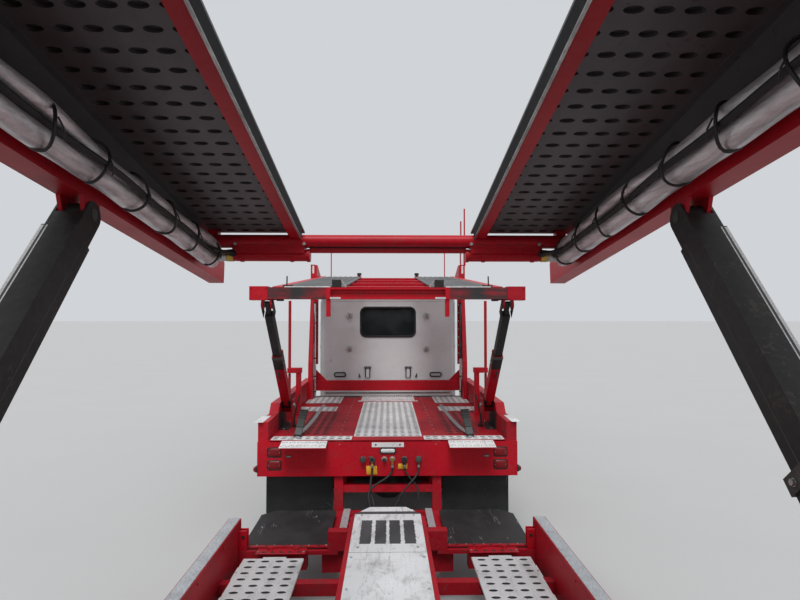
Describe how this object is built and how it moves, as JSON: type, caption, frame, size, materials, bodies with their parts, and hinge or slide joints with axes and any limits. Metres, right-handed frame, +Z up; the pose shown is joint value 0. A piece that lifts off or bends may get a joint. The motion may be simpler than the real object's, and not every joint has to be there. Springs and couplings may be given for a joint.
{
  "type": "articulated car transporter truck",
  "caption": "Bonneted sleeper tractor with a loading deck, stinger-coupled to a low trailer with hinged upper decks, for carrying cars.",
  "frame": {"origin": "on the ground, at the middle of the overall box", "axes": "+Y forward along the vehicle, +X to its right, +Z up"},
  "size_m": [2.67, 22.9, 4.04],
  "materials": {
    "red_paint": "gloss, weathered",
    "red_deck": "worn satin",
    "white_paint": "satin",
    "white_cover": "worn satin",
    "charcoal_steel": "worn satin",
    "black_steel": "satin",
    "bare_steel": "ground",
    "cast_grey": "rough",
    "polished": "polished",
    "tank_aluminium": "polished",
    "black_rubber": "matt",
    "tyre_rubber": "matt",
    "cab_trim": "grained",
    "lamp_plastic": "gloss",
    "clear_glass": "clear",
    "line_rubber": "matt"
  },
  "bodies": {
    "truck": {"truck_frame": "red_deck", "fifth_wheel": "cast_grey", "engine": "cast_grey", "truck_axles": "cast_grey", "front_bumper": "polished", "cab_shell": "white_paint", "sleeper_shell": "white_paint", "cab_glass": "clear_glass", "cab_interior": "cab_trim", "fuel_tanks": "tank_aluminium", "truck_deck": "red_deck", "rear_panel": "red_paint", "panel_fittings": "lamp_plastic", "mud_flaps": "black_rubber", "towers": "red_paint", "head_rack": "red_paint", "head_runways": "charcoal_steel", "air_line_service": "line_rubber", "air_line_supply": "line_rubber", "electric_line": "line_rubber", "spare_line": "line_rubber"},
    "hood": {"hood_shell": "white_paint", "grille_and_lamps": "polished"},
    "door_left": {"door_left": "white_paint", "door_glass_left": "clear_glass"},
    "door_right": {"door_right": "white_paint", "door_glass_right": "clear_glass"},
    "knuckle_left": {"knuckle_left": "cast_grey"},
    "knuckle_right": {"knuckle_right": "cast_grey"},
    "front_wheel_left": {"front_wheel_left": "tyre_rubber"},
    "front_wheel_right": {"front_wheel_right": "tyre_rubber"},
    "drive_front_left": {"drive_wheels_front_left": "tyre_rubber"},
    "drive_front_right": {"drive_wheels_front_right": "tyre_rubber"},
    "drive_rear_left": {"drive_wheels_rear_left": "tyre_rubber"},
    "drive_rear_right": {"drive_wheels_rear_right": "tyre_rubber"},
    "truck_upper_deck": {"truck_upper_frame": "red_paint", "truck_upper_runways": "charcoal_steel"},
    "truck_posts": {"truck_post_barrels": "red_paint"},
    "truck_rods": {"truck_post_rods": "black_steel"},
    "trailer": {"trailer_frame": "red_deck", "trailer_neck": "white_cover", "lower_deck": "white_cover", "front_mats": "black_rubber", "trailer_posts": "red_paint", "trailer_axles": "cast_grey", "trailer_rear": "red_paint", "trailer_lamps": "lamp_plastic"},
    "trailer_front_left": {"trailer_wheels_front_left": "tyre_rubber"},
    "trailer_front_right": {"trailer_wheels_front_right": "tyre_rubber"},
    "trailer_rear_left": {"trailer_wheels_rear_left": "tyre_rubber"},
    "trailer_rear_right": {"trailer_wheels_rear_right": "tyre_rubber"},
    "front_deck": {"front_deck_frame": "red_paint", "front_deck_runways": "charcoal_steel"},
    "front_struts": {"front_strut_barrels": "red_paint"},
    "front_strut_rods": {"front_strut_rods": "black_steel"},
    "rear_deck": {"rear_deck_frame": "red_paint", "rear_deck_runways": "charcoal_steel"},
    "rear_struts": {"rear_strut_barrels": "red_paint"},
    "rear_strut_rods": {"rear_strut_rods": "black_steel"},
    "ramps": {"ramps": "bare_steel"}
  },
  "joints": [
    {"name": "steer_left", "type": "hinge", "parent": "truck", "child": "knuckle_left", "pos_m": [-0.88, 10.25, 0.5], "axis": [0, 0, 1], "range_deg": [-38, 38]},
    {"name": "steer_right", "type": "hinge", "parent": "truck", "child": "knuckle_right", "pos_m": [0.88, 10.25, 0.5], "axis": [0, 0, 1], "range_deg": [-38, 38]},
    {"name": "roll_front_left", "type": "hinge", "parent": "knuckle_left", "child": "front_wheel_left", "pos_m": [-1.04, 10.25, 0.5], "axis": [1, 0, 0], "continuous": true},
    {"name": "roll_front_right", "type": "hinge", "parent": "knuckle_right", "child": "front_wheel_right", "pos_m": [1.04, 10.25, 0.5], "axis": [1, 0, 0], "continuous": true},
    {"name": "roll_drive_front_left", "type": "hinge", "parent": "truck", "child": "drive_front_left", "pos_m": [-1.0025, 4.5, 0.48], "axis": [1, 0, 0], "continuous": true},
    {"name": "roll_drive_front_right", "type": "hinge", "parent": "truck", "child": "drive_front_right", "pos_m": [1.0025, 4.5, 0.48], "axis": [1, 0, 0], "continuous": true},
    {"name": "roll_drive_rear_left", "type": "hinge", "parent": "truck", "child": "drive_rear_left", "pos_m": [-1.0025, 3.2, 0.48], "axis": [1, 0, 0], "continuous": true},
    {"name": "roll_drive_rear_right", "type": "hinge", "parent": "truck", "child": "drive_rear_right", "pos_m": [1.0025, 3.2, 0.48], "axis": [1, 0, 0], "continuous": true},
    {"name": "door_left_swing", "type": "hinge", "parent": "truck", "child": "door_left", "pos_m": [-1.042, 9.235, 1.6], "axis": [0, 0, -1], "range_deg": [0, 70]},
    {"name": "door_right_swing", "type": "hinge", "parent": "truck", "child": "door_right", "pos_m": [1.042, 9.235, 1.6], "axis": [0, 0, 1], "range_deg": [0, 70]},
    {"name": "hood_tilt", "type": "hinge", "parent": "truck", "child": "hood", "pos_m": [0, 11.3, 0.72], "axis": [-1, 0, 0], "range_deg": [0, 55]},
    {"name": "truck_deck_tilt", "type": "hinge", "parent": "truck", "child": "truck_upper_deck", "pos_m": [0, 6, 2.93], "axis": [1, 0, 0], "range_deg": [0, 12]},
    {"name": "trailer_pivot", "type": "hinge", "parent": "truck", "child": "trailer", "pos_m": [0, 1.5, 0.5], "axis": [0, 0, 1], "range_deg": [-45, 45], "deforming": ["front_mats"]},
    {"name": "roll_trailer_front_left", "type": "hinge", "parent": "trailer", "child": "trailer_front_left", "pos_m": [-1.0025, -7.75, 0.42], "axis": [1, 0, 0], "continuous": true},
    {"name": "roll_trailer_front_right", "type": "hinge", "parent": "trailer", "child": "trailer_front_right", "pos_m": [1.0025, -7.75, 0.42], "axis": [1, 0, 0], "continuous": true},
    {"name": "roll_trailer_rear_left", "type": "hinge", "parent": "trailer", "child": "trailer_rear_left", "pos_m": [-1.0025, -9.05, 0.42], "axis": [1, 0, 0], "continuous": true},
    {"name": "roll_trailer_rear_right", "type": "hinge", "parent": "trailer", "child": "trailer_rear_right", "pos_m": [1.0025, -9.05, 0.42], "axis": [1, 0, 0], "continuous": true},
    {"name": "front_deck_tilt", "type": "hinge", "parent": "trailer", "child": "front_deck", "pos_m": [0, -4.2, 3.173], "axis": [1, 0, 0], "range_deg": [-8, 4]},
    {"name": "rear_deck_tilt", "type": "hinge", "parent": "trailer", "child": "rear_deck", "pos_m": [0, -4.5, 3.12], "axis": [1, 0, 0], "range_deg": [0, 14]},
    {"name": "truck_post_swing", "type": "hinge", "parent": "truck", "child": "truck_posts", "pos_m": [0, 3.23, 1.33], "axis": [1, 0, 0], "range_deg": [0, 26.23]},
    {"name": "truck_post_slide", "type": "slide", "parent": "truck_posts", "child": "truck_rods", "axis": [0, -0.7253, 0.6884], "range_m": [-0.58651, 0]},
    {"name": "front_strut_swing", "type": "hinge", "parent": "trailer", "child": "front_struts", "pos_m": [0, -3.05, 0.79], "axis": [1, 0, 0], "range_deg": [-4.9, 2.46]},
    {"name": "front_strut_slide", "type": "slide", "parent": "front_struts", "child": "front_strut_rods", "axis": [0, 0.6648, 0.747], "range_m": [-0.3444, 0.17245]},
    {"name": "rear_strut_swing", "type": "hinge", "parent": "trailer", "child": "rear_struts", "pos_m": [0, -7, 1.23], "axis": [1, 0, 0], "range_deg": [0, 21.91]},
    {"name": "rear_strut_slide", "type": "slide", "parent": "rear_struts", "child": "rear_strut_rods", "axis": [0, -0.8325, 0.554], "range_m": [-0.66214, 0]},
    {"name": "ramp_slide", "type": "slide", "parent": "trailer", "child": "ramps", "axis": [0, -1, 0], "range_m": [0, 1.2]}
  ],
  "couplings": [
    {"joint": "steer_right", "follows": "steer_left", "ratio": 1},
    {"joint": "truck_post_swing", "follows": "truck_deck_tilt", "ratio": 2.1852},
    {"joint": "truck_post_slide", "follows": "truck_deck_tilt", "m_per_rad": -2.798},
    {"joint": "front_strut_swing", "follows": "front_deck_tilt", "ratio": 0.6114},
    {"joint": "front_strut_slide", "follows": "front_deck_tilt", "m_per_rad": 2.463},
    {"joint": "rear_strut_swing", "follows": "rear_deck_tilt", "ratio": 1.564},
    {"joint": "rear_strut_slide", "follows": "rear_deck_tilt", "m_per_rad": -2.7078}
  ]
}
